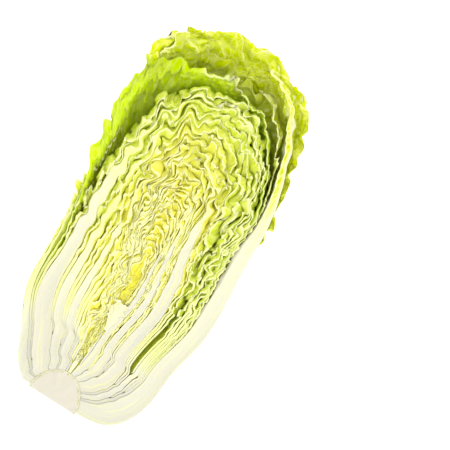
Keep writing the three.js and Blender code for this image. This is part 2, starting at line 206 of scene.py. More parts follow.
# Folds fill the head where its leaves' tips stand apart: after which head leaf, their start and their reach.
FOLDS = [
    (1.5, 0.6, 0.99), (8.5, 0.6, 1), (9.5, 0.5, 1), (10.35, 0.46, 1), (10.7, 0.6, 0.98),
    (11.35, 0.4, 1), (11.7, 0.56, 0.98), (12.35, 0.3, 1), (12.7, 0.5, 0.98), (13.35, 0.24, 1),
    (13.7, 0.44, 0.98), (14.5, 0.2, 1),
]
FOLD_LEAVES = [
    Leaf(f"head_fold_{n:02d}", head_layer(after - 1), 90, 0, ALL_ROUND, reach, 0, FOLD_SEED + n, start, after)
    for n, (after, start, reach) in enumerate(FOLDS, 1)
]
LEAVES = sorted(SOLID_LEAVES + FOLD_LEAVES, key=lambda leaf: -leaf.layer)

# Columns of each outer leaf's grid, from edge to edge.
WRAPPER_COLUMNS = {BACK_LEAF: 104, LEFT_LEAF: 60, RIGHT_LEAF: 60, SIDE_LEAF: 30, CUP_LEAF: 96}


def lerp(a, b, t):
    return a + (b - a) * t


def smooth(low, high, x):
    t = np.clip((x - low) / (high - low), 0, 1)
    return t * t * (3 - 2 * t)


def band(rise, fall, x):
    """Climbs from 0 to 1 over the rise and drops back to 0 over the fall."""
    return smooth(*rise, x) * (1 - smooth(*fall, x))


def positive(bumps):
    """Bumps from about -1 to 1, brought to between 0 and 1."""
    return np.clip(0.5 + 0.5 * bumps, 0, 1)


def bezier(a, b, c, d, t):
    s = 1 - t
    return s**3 * a + 3 * s * s * t * b + 3 * s * t * t * c + t**3 * d


def axis_lean(along, distance):
    """How far the head's axis stands to the right of the stem's."""
    x = np.full(np.shape(distance), float(AXIS_BEND[0][1]))
    for (low, before), (high, after) in zip(AXIS_BEND, AXIS_BEND[1:]):
        x = x + (after - before) * smooth(low, high, distance)
    return x * smooth(0, 0.1, along)


def profile(along, layer):
    """Radius and distance from the trimmed stem end, for a place along a layer's curve."""
    belly_at = np.interp(layer, LAYER, BELLY_AT)
    tip_at = np.interp(layer, LAYER, TIP_AT)
    tip_radius = np.interp(layer, LAYER, TIP_RADIUS)
    opening = tip_radius / OPEN_TIP_RADIUS
    belly = HEAD_RADIUS * layer
    belly_along = lerp(*BELLY_ALONG, layer)
    root_turn = np.radians(STEM_COVER * layer)
    root_radius = (STEM_RADIUS + STEM_CLEARANCE) * np.sin(root_turn)
    root_at = (STEM_HEIGHT + STEM_CLEARANCE) * np.cos(root_turn)

    share = np.clip(along / belly_along, 0, 1) ** ROW_EASE
    swell_radius = root_radius + BASE_SWELL * layer**SWELL_POWER
    swell_at = root_at + lerp(*SWELL_RISE, layer)
    low_at = belly_at - lerp(*BELLY_PULL, layer) * (belly_at - root_at)
    low_radius = bezier(root_radius, swell_radius, belly, belly, share)
    low_distance = bezier(root_at, swell_at, low_at, belly_at, share)

    share = np.clip((along - belly_along) / (1 - belly_along), 0, 1)
    high_at = belly_at + TIP_PULL * (tip_at - belly_at)
    inward = lerp(CLOSING * belly, OPENING[0], opening)
    high_radius = bezier(belly, belly, tip_radius + inward, tip_radius, share)
    high_distance = bezier(belly_at, high_at, tip_at - OPENING[1] * opening, tip_at, share)
    below = along < belly_along
    return np.where(below, low_radius, high_radius), np.where(below, low_distance, high_distance)


def place(along, turn, layer):
    """Points in space, as rows of x, y and z, for places in the head."""
    side, back = np.cos(np.radians(turn)), np.sin(np.radians(turn))
    skew = 1 + BASE_SKEW * side * smooth(0, 0.04, along) * (1 - smooth(0.07, 0.34, along))
    radius, distance = profile(along, layer)
    radius = radius * skew
    depth = profile(along, 1)[0] * skew * back
    pressed = np.where(depth > CUT_HEIGHT, CUT_HEIGHT / np.maximum(depth, NEVER_ZERO), 1)
    flare = FRINGE_FLARE * smooth(0.9, 1, layer) * smooth(0.35, 0.62, along) * smooth(140, 180, turn)
    x = (radius + flare) * side + axis_lean(along, distance)
    return np.stack([x, distance - REST_FROM_STEM, CUT_HEIGHT - pressed * radius * back], -1)


def layer_scale(along, layer):
    """Millimetres of space for each unit of layer, square to the leaf."""
    step = 0.02
    low, high = np.maximum(0, layer - step), np.minimum(1, layer + step)
    before, after = np.maximum(0, along - step), np.minimum(1, along + step)
    inner, outer = profile(along, low), profile(along, high)
    below, above = profile(before, layer), profile(after, layer)
    swell, rise = above[0] - below[0], above[1] - below[1]
    square = (outer[0] - inner[0]) * rise - (outer[1] - inner[1]) * swell
    return np.abs(square) / np.maximum(np.hypot(rise, swell), NEVER_ZERO) / (high - low)


def wave(point, wavelength, seed):
    """The slow waves that the solid leaves have, from -1 to 1."""
    total = 0
    for n in range(3):
        bearing = seed * 2.4 + n * 2.1
        pitch = 2 * math.pi * (1 + 0.23 * n) / wavelength
        run = (
            point[..., 1] * np.cos(0.5 * np.sin(bearing))
            + point[..., 0] * np.sin(bearing) * 0.7
            + point[..., 2] * np.cos(bearing) * 0.7
        )
        total = total + np.sin(run * pitch + seed * 1.7 + n * 2.3)
    return total / 3


def crinkle(point, wavelength, seed, waves=5):
    """Irregular bumps from about -1 to 1: plane waves that cross at seeded angles, bent by slower ones."""
    rng = np.random.default_rng(seed)
    total = 0
    slower = 2 * math.pi / (2.7 * wavelength)
    bend = np.sin(point[..., [1, 2, 0]] * slower + rng.uniform(*ALL_PHASES, 3))
    bent = point + 0.35 * wavelength * bend
    for _ in range(waves):
        way = rng.normal(size=3)
        way *= rng.uniform(0.8, 1.3) * 2 * math.pi / wavelength / np.linalg.norm(way)
        total = total + np.sin(bent @ way + rng.uniform(*ALL_PHASES))
    return total / math.sqrt(waves) * 0.8


def cells(point, size, seed):
    """How far a place on the leaf is from its cell's border, from 0 on a vein to about 1 amid the cell."""
    rng = np.random.default_rng(seed)
    repeat = 64
    jitter = rng.uniform(0.1, 0.9, (repeat, repeat, 2))
    grid = point / size
    home = np.floor(grid).astype(int)
    nearest = second = np.full(point.shape[0], float(FAR))
    for dx in (-1, 0, 1):
        for dy in (-1, 0, 1):
            cell = home + (dx, dy)
            seed_point = cell + jitter[cell[:, 0] % repeat, cell[:, 1] % repeat]
            gap = np.linalg.norm(grid - seed_point, axis=1)
            second = np.minimum(second, np.maximum(nearest, gap))
            nearest = np.minimum(nearest, gap)
    return second - nearest


def half_width(leaf, along):
    return lerp(CLASP, leaf.spread, smooth(0, 0.3, along))


def rib_share(leaf, along, turn):
    """1 on the leaf's midrib and 0 on its blade."""
    across = (turn - leaf.midrib) / lerp(*RIB_WIDTH, smooth(0, 0.6, along))
    return np.exp(-across * across)


def thickness(leaf, along, turn):
    taper = lerp(1, RIB_TIP_SHARE, smooth(0.42, 1, along))
    return BLADE_THICKNESS + leaf.rib * taper * rib_share(leaf, along, turn)


def waviness(turn):
    return 1 - BACK_CALM * smooth(10, 50, np.minimum(turn, 180 - turn))


class Stack:
    """The outer and inner face of every solid leaf, in layers, as tables over along and turn."""

    def __init__(self):
        self.steps = 300
        self.columns = 91
        along, turn = np.meshgrid(
            np.linspace(0, 1, self.steps), np.linspace(0, 180, self.columns), indexing="ij"
        )
        solid, least, gap = [], [], []
        loose = smooth(0.2, 0.5, along)
        for n, leaf in enumerate(SOLID_LEAVES):
            reach = half_width(leaf, along)
            present = 1 - smooth(*PRESENT_PAST, np.abs(turn - leaf.midrib) - reach)
            scale = layer_scale(along, leaf.layer)
            inner = SOLID_LEAVES[n + 1].layer if n + 1 < len(SOLID_LEAVES) else HEART_LAYER
            held = lerp(present, 1, smooth(0.25, 0.45, along))
            point = place(along, turn, leaf.layer)
            slow = waviness(turn) * wave(point, lerp(*RIPPLE_WAVELENGTH, loose), n + 1)
            solid.append(present * thickness(leaf, along, turn) / scale)
            least.append(held * lerp(CLEARANCE, LOOSE_CLEARANCE, loose) / scale)
            open_gap = OPEN_GAP * opened(along, turn) if leaf is OPEN_PAIR[0] else 0
            if leaf in WRAPPERS:
                open_gap = (CUP_GAP if leaf is CUP_LEAF else -CUP_PRESS) * cupped(along, turn)
            gap.append(held * (leaf.layer - inner) * np.exp(loose * RIPPLE * slow) * (1 + open_gap))
        solid, least, gap = np.array(solid), np.array(least), np.array(gap)
        room = 1 - HEART_LAYER - least.sum(0)
        squeeze = np.minimum(1, MOST_SOLID * room / solid.sum(0))
        packed = np.minimum(MOST_SWOLLEN, lerp(*PACKED, opened(along, turn)) * room / solid.sum(0))
        solid = solid * lerp(packed, squeeze, smooth(0.12, 0.42, along))
        gap = gap * (room - solid.sum(0)) / gap.sum(0)
        taken = np.cumsum(solid + least + gap, 0)
        self.outer = 1 - np.concatenate([np.zeros_like(taken[:1]), taken[:-1]])
        self.inner = self.outer - solid

    def look(self, table, order, along, turn):
        row = np.clip(along, 0, 1) * (self.steps - 1)
        column = np.clip(turn, 0, 180) / 180 * (self.columns - 1)
        i = np.minimum(row.astype(int), self.steps - 2)
        j = np.minimum(column.astype(int), self.columns - 2)
        low = lerp(table[order][i, j], table[order][i, j + 1], column - j)
        high = lerp(table[order][i + 1, j], table[order][i + 1, j + 1], column - j)
        return lerp(low, high, row - i)

    def sheet(self, leaf, along, turn):
        """Outer and inner face of one leaf. A fold shares the gap that it lies in."""
        if leaf in SOLID_LEAVES:
            order = SOLID_LEAVES.index(leaf)
            outer, inner = (self.look(table, order, along, turn) for table in (self.outer, self.inner))
            slim = smooth(0.6, 0.8, along) * (leaf not in WRAPPERS)
            half = lerp((outer - inner) / 2, self.half_blade(leaf, along), slim)
            half = np.minimum(half, (outer - inner) / 2)
            middle = (outer + inner) / 2
        else:
            order = len(WRAPPERS) - 1 + int(leaf.after)
            above = self.look(self.inner, order, along, turn)
            last = order == len(SOLID_LEAVES) - 1
            below = HEART_LAYER if last else self.look(self.outer, order + 1, along, turn)
            middle = lerp(above, below, leaf.after % 1)
            half = self.half_blade(leaf, along)
        return middle + half, middle - half

    def half_blade(self, leaf, along):
        return HALF_LOOSE_BLADE / np.maximum(layer_scale(along, leaf.layer), LEAST_SCALE)

    def faces(self, leaf, along, turn):
        """Outer and inner face of a leaf, and the free layers outside and inside it."""
        order = LEAVES.index(leaf)
        outer, inner = self.sheet(leaf, along, turn)
        above = self.beside(LEAVES[:order][::-1], 1, outer + 0.03, along, turn)
        below = self.beside(LEAVES[order + 1:], 0, np.full_like(along, HEART_LAYER), along, turn)
        return outer, inner, np.maximum(above - outer, 0), np.maximum(inner - below, 0)

    def beside(self, others, side, face, along, turn):
        """The facing side of the nearest of some leaves. A fold counts only where it has begun."""
        near = []
        for leaf in others:
            near.append(leaf)
            if not leaf.start:
                break
        for leaf in reversed(near):
            there = self.sheet(leaf, along, turn)[side]
            face = np.where(along >= leaf.start, there, face) if leaf.start else there
        return face


def opened(along, turn):
    """1 where the head stands open beside its stoutest right midrib, and 0 elsewhere."""
    return band((0.1, 0.2), (0.55, 0.72), along) * np.exp(-((turn / 16) ** 2))


def cupped(along, turn):
    """1 where the cupped leaf stands off the head, and 0 elsewhere."""
    return smooth(0.4, 0.58, along) * (1 - 0.75 * smooth(*CUP_FADE, along)) * smooth(148, 178, turn)


def slow_waves(along, turn, layer):
    """Waves that neighbouring leaves share. They fade at the axis, the root, the back and the outside."""
    fade = band((0.08, 0.3), (0.8, 0.97), layer) * smooth(0.3, 0.52, along) * waviness(turn)
    return layer + WAVE_DEPTH * fade * wave(place(along, turn, layer), SHARED_WAVELENGTH, 3 * layer)


def crinkle_depth(leaf, along, turn, outside, inside, sizes):
    """How far a leaf's crinkles move it outwards, in millimetres: what neighbours share, and its own."""
    length = sizes.crinkle_length / MM
    nearby = place(along, turn, 0.5 + 0.4 * (leaf.layer - 0.5))
    together = sizes.shared_crinkle / MM * crinkle(nearby, 1.1 * length, 7, 4)
    point = place(along, turn, leaf.layer)
    own = 0.85 * crinkle(point, length, 100 + leaf.number, 4)
    own = own + 0.4 * crinkle(point, 0.5 * length, 200 + leaf.number, 3)
    room = np.minimum(sizes.crinkle * np.where(own > 0, outside, inside), sizes.most_crinkle / MM)
    return together + own * room


def fatten(leaf, along, turn, drop, outer, inner, outside, inside):
    """Thickens a blade with its depth below its cut edge, so that a gap is a groove with a lit floor."""
    point = place(along, turn, leaf.layer)
    depth = CUT_HEIGHT - point[:, 2] - drop
    loose = looseness(leaf, along)
    floor = lerp(*BLADE_GROOVE, positive(crinkle(point, 17, 810)))
    floor = lerp(STALK_GROOVE, floor * lerp(1, 0.45, smooth(0.4, 0.75, leaf.layer)), loose)
    apart = np.maximum(smooth(30, 70, turn), smooth(0.55, 0.72, along))
    closing = GROOVE_CLOSING
    if leaf in WRAPPERS:
        closing = closing * (1 - smooth(0.1, 0.5, loose) * apart)
    slit = 0.05 * smooth(0.35, 0.9, crinkle(point, 12, 811)) * loose
    stands_open = 0.8 * opened(along, turn) * (leaf in OPEN_PAIR)
    sunk = np.maximum(smooth(0, floor, depth), 0.85 * (1 - loose))
    share = (closing - slit) * sunk * (1 - stands_open)
    share_out = share * (leaf is not BACK_LEAF)
    if leaf is HEAD_LEAVES[0]:
        share_out = share * lerp(1, 0.3, apart)
    return outer + share_out * outside, inner - share * inside, 1 - 2 * share_out, 1 - 2 * share


def sheet_grid(name, rows, columns, rim_cuts=2):
    """A flat grid with two sides and a rim between them. Returns its mesh and each vertex's place on it:
    u from root to tip, v from edge to edge and w from the outer side to the inner or upper one."""
    bm = bmesh.new()
    bmesh.ops.create_grid(bm, x_segments=columns, y_segments=rows, size=0.5)
    bmesh.ops.solidify(bm, geom=bm.faces[:], thickness=0.01)
    rim = [e for e in bm.edges if abs(e.verts[0].co.z - e.verts[1].co.z) > 0.005]
    if rim_cuts:
        bmesh.ops.subdivide_edges(bm, edges=rim, cuts=rim_cuts, use_grid_fill=True)
    for edge in bm.edges:
        edge.smooth = True
        if len(edge.link_faces) == 2:
            edge.smooth = edge.link_faces[0].normal.dot(edge.link_faces[1].normal) > 0.5
    for face in bm.faces:
        face.smooth = True
    mesh = bpy.data.meshes.new(name)
    bm.to_mesh(mesh)
    bm.free()
    co = np.empty(len(mesh.vertices) * 3)
    mesh.vertices.foreach_get("co", co)
    co = co.reshape(-1, 3)
    low, high = co[:, 2].min(), co[:, 2].max()
    return mesh, co[:, 1] + 0.5, co[:, 0] + 0.5, 1 - (co[:, 2] - low) / (high - low)


def leaf_run(leaf):
    """Steps from root to tip along a leaf's curve, and the length of leaf up to each."""
    steps = np.linspace(0, 1, 500)
    radius, distance = profile(steps, leaf.layer)
    run = np.concatenate([[0], np.cumsum(np.hypot(np.diff(radius), np.diff(distance)))])
    return steps, run


def grade(leaf, v):
    """Draws a leaf's columns together towards the cut face, where they are seen from close by."""
    grading = 0.55 if leaf in WRAPPERS else 0.9 if leaf.start else 0.86
    return v - grading / (2 * math.pi) * np.sin(2 * math.pi * v)


def looseness(leaf, along):
    """0 where the leaves are packed stalks and 1 where they are wavy blades."""
    heart = 1 - smooth(0.2, 0.42, leaf.layer)
    return np.maximum(smooth(0.26, 0.52, along), heart * smooth(0.1, 0.32, along))


def strip_noise(length, across, wavelength, seed):
    """Crinkles along a leaf's edge, from about -1 to 1."""
    return crinkle(np.stack([length, length * 0 + across, length * 0], -1), wavelength, seed)


def lip_length(whole, length):
    """How far the cupped leaf's left margin hangs over beyond its crest, in millimetres."""
    span = band((0.46, 0.6), CUP_FADE, whole)
    frill = 1 + 0.06 * strip_noise(length, 0, 16, 61) + 0.035 * strip_noise(length, 0, 5, 62)
    return lerp(*LIP_LENGTH, smooth(0.6, 0.75, whole)) * span * np.clip(frill, 0.7, 1.15)


def roll_over(along, turn, face, rolled, thick, w, length):
    """Carries the cupped leaf's margin up over its crest and down outside it."""
    bend, most = LIP_BEND, math.radians(LIP_TURN)
    outward = place(along, turn, face + 0.02) - place(along, turn, face)
    outward[:, 2] = 0
    outward /= np.maximum(np.linalg.norm(outward, axis=1), NEVER_ZERO)[:, None]
    angle = np.minimum(rolled / bend, most)
    past = np.maximum(rolled - bend * most, 0)
    frill = 2.2 * smooth(6, 20, rolled) * strip_noise(length, 0.5 * rolled, 17, 63)
    side = thick * (w - 0.5)
    sine, cosine = np.sin(angle), np.cos(angle)
    out = bend * (1 - cosine) + past * sine + frill * cosine - side * (1 - cosine)
    up = bend * sine + past * cosine - frill * sine - side * sine
    return outward * out[:, None] + np.stack([up * 0, up * 0, up], -1)


@functools.cache
def stout_ribs():
    """Points along the midribs that show as white bands in the cut face, in its plane."""
    stack = leaf_stack()
    steps = np.linspace(0, 0.66, 34)
    lines = []
    for order, leaf in enumerate(SOLID_LEAVES):
        if leaf in WRAPPERS or leaf.rib < SHOWN_RIB or SHOWN_TURN < leaf.midrib < 180 - SHOWN_TURN:
            continue
        turn = np.full_like(steps, 0.0 if leaf.midrib < 90 else 180.0)
        middle = sum(stack.look(table, order, steps, turn) for table in (stack.outer, stack.inner)) / 2
        shown = thickness(leaf, steps, turn) > SHOWN_THICKNESS
        lines.append(place(steps, turn, middle)[shown][:, :2])
    return np.concatenate(lines)


def swirl(points, layer, loose):
    """Shifts every head leaf by one shared field of eddies, so that their edges meander together."""
    x, y = points[:, 0], points[:, 1]
    gap = np.full(len(x), float(FAR))
    for rib in stout_ribs():
        gap = np.minimum(gap, np.hypot(x - rib[0], y - rib[1]))
    fade = loose * smooth(*SWIRL_FROM, gap) * (1 - 0.7 * smooth(0.68, 0.84, layer))
    shift = np.zeros_like(points)
    for seed, (length, depth) in enumerate(SWIRLS):
        step = 0.2
        here, across, beside = (
            crinkle(points + way, length, 900 + seed, 4) for way in ((0, 0, 0), (step, 0, 0), (0, step, 0))
        )
        slope = depth * length / (2 * math.pi) / step
        shift[:, 0] += slope * (beside - here)
        shift[:, 1] -= slope * (across - here)
    return shift * fade[:, None]


class LaidLeaf:
    """A leaf's grid laid out in the head: where its points lie, and what its colours follow."""

    def __init__(self, leaf, sizes, u, v):
        self.leaf, self.sizes = leaf, sizes
        self.wrapper, self.cup = leaf in WRAPPERS, leaf is CUP_LEAF
        steps, run = leaf_run(leaf)
        u = leaf.start + (1 - leaf.start) * u
        self.run = run[-1]
        self.whole = np.interp(u, run / run[-1], steps)
        self.length = u * self.run
        self.loose = looseness(leaf, self.whole)
        self.spread_out(v)
        self.margins(u)
        self.along = self.shortened()

    def spread_out(self, v):
        """Finds each vertex's turn, and how far it lies past the crest of a margin that rolls over."""
        leaf, whole, length = self.leaf, self.whole, self.length
        radius = np.maximum(profile(whole, leaf.layer)[0], 0.2)
        reach = half_width(leaf, whole)
        if leaf not in OUTERMOST:
            reach = reach + CLASP_MORE * (1 - smooth(0.25, 0.45, whole))
        low, high = np.maximum(0, leaf.midrib - reach), np.minimum(180, leaf.midrib + reach)
        if leaf is BACK_LEAF:
            low = np.maximum(low, lerp(34, 10, smooth(0.5, 0.66, whole)))
        self.cut_low, self.cut_high = low < 0.5, high > 179.5

        ragged = positive(strip_noise(length, 30 * np.round(v), 15, 300 + leaf.number))
        flush = rib_share(leaf, whole, np.where(v < 0.5, 0.0, 180.0)) * (leaf.rib > 0)
        relief = self.sizes.cut_relief / MM * (CUP_RELIEF if self.cup else 1)
        drop = relief * ragged * self.loose * (1 - flush)
        self.lip = lip_length(whole, length) if self.cup else np.zeros_like(whole)
        drop = drop + np.where(v < 0.5, 0, (LIP_BEND + 1) * np.clip(self.lip / LIP_GROWN, 0, 1))
        if leaf in OUTERMOST:
            lowered = OUTER_LOWERED[0] * smooth(0.3, 0.45, whole) + OUTER_LOWERED[1] * smooth(0.5, 0.6, whole)
            drop = drop + np.where(v < 0.5, 0, lowered * (1 - smooth(0.8, 0.95, whole)))
        self.drop = drop
        sunk = np.degrees(np.arcsin(np.minimum(drop / radius, MOST_LOWERED)))
        low = np.where(self.cut_low, low + sunk, low)
        high = np.where(self.cut_high, high - sunk, high)
        width = np.radians(high - low) * radius
        reached = grade(leaf, v) * (width + self.lip) / width
        self.turn = lerp(low, high, np.minimum(reached, 1))
        self.rolled = np.maximum(reached - 1, 0) * width
        self.low, self.high, self.radius = low, high, radius
        self.across = np.radians(self.turn - leaf.midrib) * radius + self.rolled

    def margins(self, u):
        """Measures how far each vertex is from the leaf's free margins and from its cut edges."""
        from_low = np.radians(self.turn - self.low) * self.radius
        from_high = np.radians(self.high - self.turn) * self.radius
        cut_high = self.cut_high & (self.lip < 1)
        free_tip = self.leaf in FREE_TIPS or self.leaf.start
        from_tip = (1 - u) * self.run if free_tip else FAR
        open_low = np.where(self.cut_low, FAR, from_low)
        open_high = np.where(cut_high, FAR, from_high + self.lip - self.rolled)
        self.from_margin = np.minimum(np.minimum(open_low, open_high), from_tip)
        self.from_cut = np.minimum(np.where(self.cut_low, from_low, FAR), np.where(cut_high, from_high, FAR))

    def shortened(self):
        """Ends the blade sooner beside its midrib, with lobes and small teeth in its free tip."""
        leaf = self.leaf
        offset = (self.turn - leaf.midrib) / 90
        lobes = LOBE_DEPTH * (1 + np.sin(self.turn / 7 + LEAVES.index(leaf) * 2)) * (leaf.droop > 0)
        teeth = TOOTH_DEPTH * strip_noise(self.turn, leaf.layer * 50, 6, 40 + leaf.number)
        teeth = teeth if self.wrapper or leaf.start else 0
        shorter = 1 - leaf.reach + leaf.droop * offset * offset + lobes + teeth
        return self.whole - shorter * smooth(0.4, 1, self.whole)

    def veins(self, point):
        """Marks the midrib and the cells between small veins."""
        leaf, across = self.leaf, self.across
        rib_width = lerp(24, 1.6, smooth(0, 0.85, self.along) ** 0.6)
        if self.wrapper:
            rib_width = lerp(34, 4, smooth(0, 0.85, self.along) ** 0.8)
        rib = np.exp(-((across / rib_width) ** 2)) * (leaf.rib > 0)
        fading = 0.72 if leaf is RIGHT_LEAF else 0.58
        rib = rib * (1 - 0.9 * smooth(fading, fading + 0.2, self.along))
        warp = 2.5 * crinkle(point, 22, 500 + leaf.number)
        flat = np.stack([self.length + 3 * leaf.number, across + 200], -1)
        cell = self.sizes.cell / MM * (1 if self.wrapper else 0.8)
        self.net = cells(flat + warp[:, None], cell, leaf.number)
        self.bare = 1 - smooth(0.25, 0.75, rib)
        self.vein = 0.5 * (1 - smooth(0.03, 0.2, self.net)) * self.bare
        self.calm = np.maximum(rib_share(leaf, self.along, self.turn), rib) * (leaf.rib > 0)
        self.rib = rib

    def relief(self, point, scale, outer, inner):
        """Adds blisters and ruffles to the faces, thins the margins and slopes the outermost leaves back."""
        leaf, along, turn, sizes = self.leaf, self.along, self.turn, self.sizes
        blister = (sizes.blister / MM if self.wrapper else 0.5) * smooth(0.02, 0.5, self.net) * self.bare
        ruffle = sizes.ruffle / MM * (1 - smooth(0, 26, self.from_margin)) * self.loose
        ruffle = ruffle * crinkle(point, 15, 700 + leaf.number) if self.wrapper else 0
        ruffle = ruffle * smooth(6, 18, self.lip) if self.cup else ruffle
        depth = CUT_HEIGHT - point[:, 2]
        slope = 6 * band((0, 10), (30, 60), depth) * smooth(0.3, 0.45, along)
        slope = slope * (turn > 90) * (leaf in OUTERMOST)
        shift = (ruffle - blister * self.loose * smooth(0, 3, self.from_margin) - slope) / scale
        thin = 0.25 * (1 - smooth(0, 5, self.from_margin)) * (inner - outer)
        if self.cup:
            crest = band((0.78, 0.83), (0.97, 1), along) * smooth(150, 176, turn)
            thin = thin - 1.3 * crest * (1 - smooth(0, 5, depth)) / scale
        return outer + shift + thin, inner + shift - thin

    def crinkles(self, outside, inside):
        """How far the crinkles move the blade outwards, in millimetres, and where leaning takes it along."""
        along, turn = self.along, self.turn
        fade = self.loose * waviness(turn) * (1 - 0.9 * self.calm) * (0.4 if self.wrapper else 1)
        if self.cup:
            fade = fade * (1 - 0.85 * smooth(0.66, 0.76, along) * smooth(135, 165, turn))
        run = 0.8
        before, here, after = (
            fade * crinkle_depth(self.leaf, along + side / self.run, turn, outside, inside, self.sizes)
            for side in (-run, 0, run)
        )
        lean = here * (after - before) / (2 * run)
        return here, along - self.sizes.curl * lean / self.run

    def points(self, w):
        """Every vertex in millimetres, with w running from the outer side to the inner one."""
        leaf, along, turn = self.leaf, self.along, self.turn
        outer, inner, outside, inside = leaf_stack().faces(leaf, along, turn)
        outer, inner = (slow_waves(along, turn, face) for face in (outer, inner))
        outer, inner, left_out, left_in = fatten(leaf, along, turn, self.drop, outer, inner, outside, inside)
        point = place(along, turn, leaf.layer)
        scale = np.maximum(layer_scale(along, leaf.layer), LEAST_SCALE)
        self.veins(point)
        outer, inner = self.relief(point, scale, outer, inner)
        self.thick = (inner - outer) * scale

        depth, curled = self.crinkles(outside * left_out * scale, inside * left_in * scale)
        above, below = min(leaf.layer + 0.02, 1), leaf.layer - 0.02
        outward = place(along, turn, above) - place(along, turn, below)
        reach = np.linalg.norm(outward, axis=1) / (above - below)
        face = lerp(outer, inner, w) + depth / np.maximum(reach, scale)
        points = place(curled, turn, face)
        if not self.wrapper:
            points += swirl(points, face, self.loose)
        if self.cup:
            points += roll_over(curled, turn, face, self.rolled, self.thick, w, self.length)
        rounded = np.abs(2 * w - 1) ** 2.5 * (self.from_cut < 0.01) * (1 - 0.7 * self.loose)
        points[:, 2] -= rounded * np.minimum(0.12 * self.thick, 0.8)
        points[:, 2] = np.maximum(points[:, 2], RESTING)
        return points

    def facts(self, w):
        """What the colours follow: 1 on a cut edge, midrib or vein, and more the greener the blade is."""
        leaf, along, layer = self.leaf, self.along, self.leaf.layer
        stalk = 1 - (smooth(0.1, 0.4, along) if layer > YOUNG_LAYER else smooth(0, 0.12, along))
        # On head leaves the midrib's white fades away from the cut edge, so the walls down in the slits take
        # the blade's yellow-green. This is painted coloured shade; the stalks' sides are white there too.
        rib = np.maximum(self.rib, stalk) * (1 if self.wrapper else 1 - 0.8 * smooth(0.2, 1.6, self.from_cut))
        side = 0.5 + 0.5 * np.cos(np.radians(self.turn))
        green = layer * lerp(0.35, 1, smooth(0.3, 1, along)) * lerp(0.8, 1, side)
        # Blades of the middle head layers are drawn towards full green where they turn loose. This is partly
        # the leaves' own colour and partly painted saturated green shade for the valleys between the cut
        # edges.
        green = lerp(green, 1.05, 0.85 * smooth(0.48, 0.84, layer) * smooth(0.3, 0.6, along))
        if not self.wrapper:
            green = green + 0.7 * opened(along, self.turn) * smooth(0.5, 0.6, layer)
        cut = 1 - smooth(0.02, lerp(0.9, 0.45, self.loose), self.from_cut)
        if leaf is RIGHT_LEAF:
            from_bar = np.abs(self.length / WINDOWS - np.round(self.length / WINDOWS))
            window = band((0.6, 0.68), (0.86, 0.92), along) * (np.abs(w - 0.5) < 0.3)
            window = window * smooth(0.02, 0.1, from_bar)
            cut, rib, green = cut * (1 - window), rib * (1 - window), np.maximum(green, 1.1 * window)
            self.vein = self.vein * (1 - window)
        return {"cut": cut * (1 - rib), "rib": rib, "vein": self.vein, "green": green}

    def flat(self, w):
        return np.stack([self.across + self.thick * w, self.length], -1)


# What a piece's colours follow, as values on its vertices.
MASKS = ("cut", "rib", "vein", "green")


def finish_mesh(mesh, points, flat, facts):
    """Moves the grid's vertices into place, in metres, and writes its UV map and its masks."""
    mesh.vertices.foreach_set("co", (points * MM).astype(np.float32).ravel())
    corner = np.empty(len(mesh.loops), np.int32)
    mesh.loops.foreach_get("vertex_index", corner)
    uv = mesh.uv_layers.new(name="leaf")
    uv.data.foreach_set("uv", (flat[corner] * MAP_SCALE).astype(np.float32).ravel())
    for name in MASKS:
        values = facts.get(name, np.zeros(len(points)))
        mask = mesh.attributes.new(name, "FLOAT", "POINT")
        mask.data.foreach_set("value", values.astype(np.float32))
    mesh.update()


def add_object(data):
    made = bpy.data.objects.new(data.name, data)
    bpy.context.scene.collection.objects.link(made)
    return made


def add_piece(mesh, kind, settings, replaced=None):
    """Makes a finished mesh a piece of the cabbage, in place of a solid if it has one."""
    piece = add_object(mesh)
    mesh.materials.append(leaf_material(kind, settings.colours))
    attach(piece, "root")
    if replaced:
        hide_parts(replaced)


def build_leaf(leaf, kind, settings):
    """One leaf on the place of its solid, or one fold, which has none."""
    sizes = settings.sizes
    length = leaf_run(leaf)[1][-1] * (1 - leaf.start)
    step = (sizes.wrapper_step if leaf in WRAPPERS else sizes.head_step) / MM
    columns = WRAPPER_COLUMNS.get(leaf, int(lerp(20, 40, leaf.layer)))
    if leaf.start:
        columns = int(lerp(16, 30, leaf.layer))
    rim_cuts = 5 if leaf.rib >= STOUT_RIB else 2
    mesh, u, v, w = sheet_grid(leaf.name + "_blade", int(length / step), columns, rim_cuts)
    laid = LaidLeaf(leaf, sizes, u, v)
    points = laid.points(w)
    finish_mesh(mesh, points, laid.flat(w), laid.facts(w))
    add_piece(mesh, kind, settings, None if leaf.start else leaf.name)


def build_stem(settings):
    """The trimmed stem: a dome over a flat cut face, with dots where the leaves' strands meet it."""
    mesh, u, v, w = sheet_grid("stem_core_flesh", 36, 60, 0)
    turn, polar = np.radians(180 * v), np.radians(90 * (1 - np.clip(u, 0, 0.995)))
    radius, distance = STEM_RADIUS * np.sin(polar), STEM_HEIGHT * np.cos(polar)
    x = radius * np.cos(turn)
    points = np.stack([x, distance - REST_FROM_STEM, CUT_HEIGHT - radius * np.sin(turn) * (1 - w)], -1)
    border = 1 - np.hypot(x / STEM_RADIUS, distance / STEM_HEIGHT)
    dent = crinkle(points, 9, 21) * 0.25
    points[:, 2] += np.where(w > 0.5, dent - 0.3 * smooth(0.1, 0, border), 0)
    bundles = np.exp(-(((border - 0.07) / 0.025) ** 2)) * smooth(0.1, 0.5, crinkle(points, 2.4, 22))
    rind = 1 - smooth(0, 0.09, border)
    facts = {"cut": w * 0.5, "vein": rind * 0.4 * (1 - bundles), "green": 1.5 * bundles + 0.25 * rind}
    finish_mesh(mesh, points, points[:, :2], facts)
    add_piece(mesh, "stem", settings, "stem_core")


